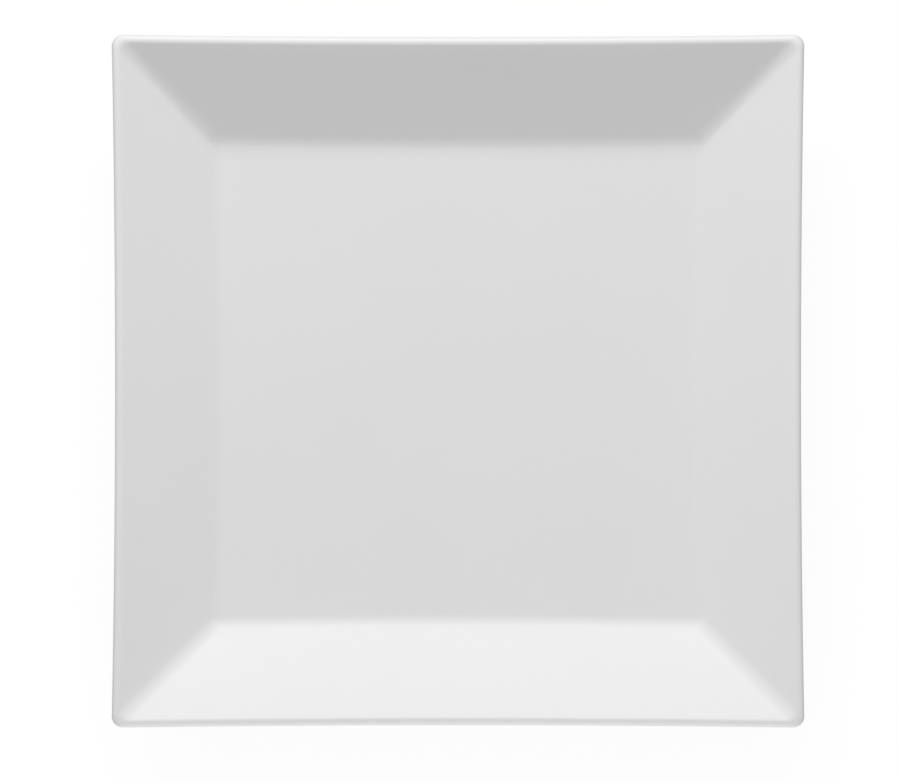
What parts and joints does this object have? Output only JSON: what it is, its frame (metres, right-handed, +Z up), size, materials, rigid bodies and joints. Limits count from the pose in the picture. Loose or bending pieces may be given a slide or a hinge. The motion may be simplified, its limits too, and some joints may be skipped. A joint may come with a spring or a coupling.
{
  "type": "square dinner plate",
  "caption": "Square white dinner plate with a flat well, a rim of sloping sides that meet on mitre lines, a rounded lip and an unglazed foot ring.",
  "frame": {"origin": "on the table, under the middle of the plate", "axes": "+Z up through the middle of the well, +X and +Y square to the rim's sides"},
  "size_m": [0.265, 0.265, 0.028],
  "materials": {
    "bisque": "bare fired clay, fine and matt",
    "glaze": "plain white glaze, satin"
  },
  "bodies": {
    "root": {"porcelain_body": "bisque", "outer_glaze_coat": "glaze", "base_glaze_coat": "glaze"}
  },
  "joints": []
}
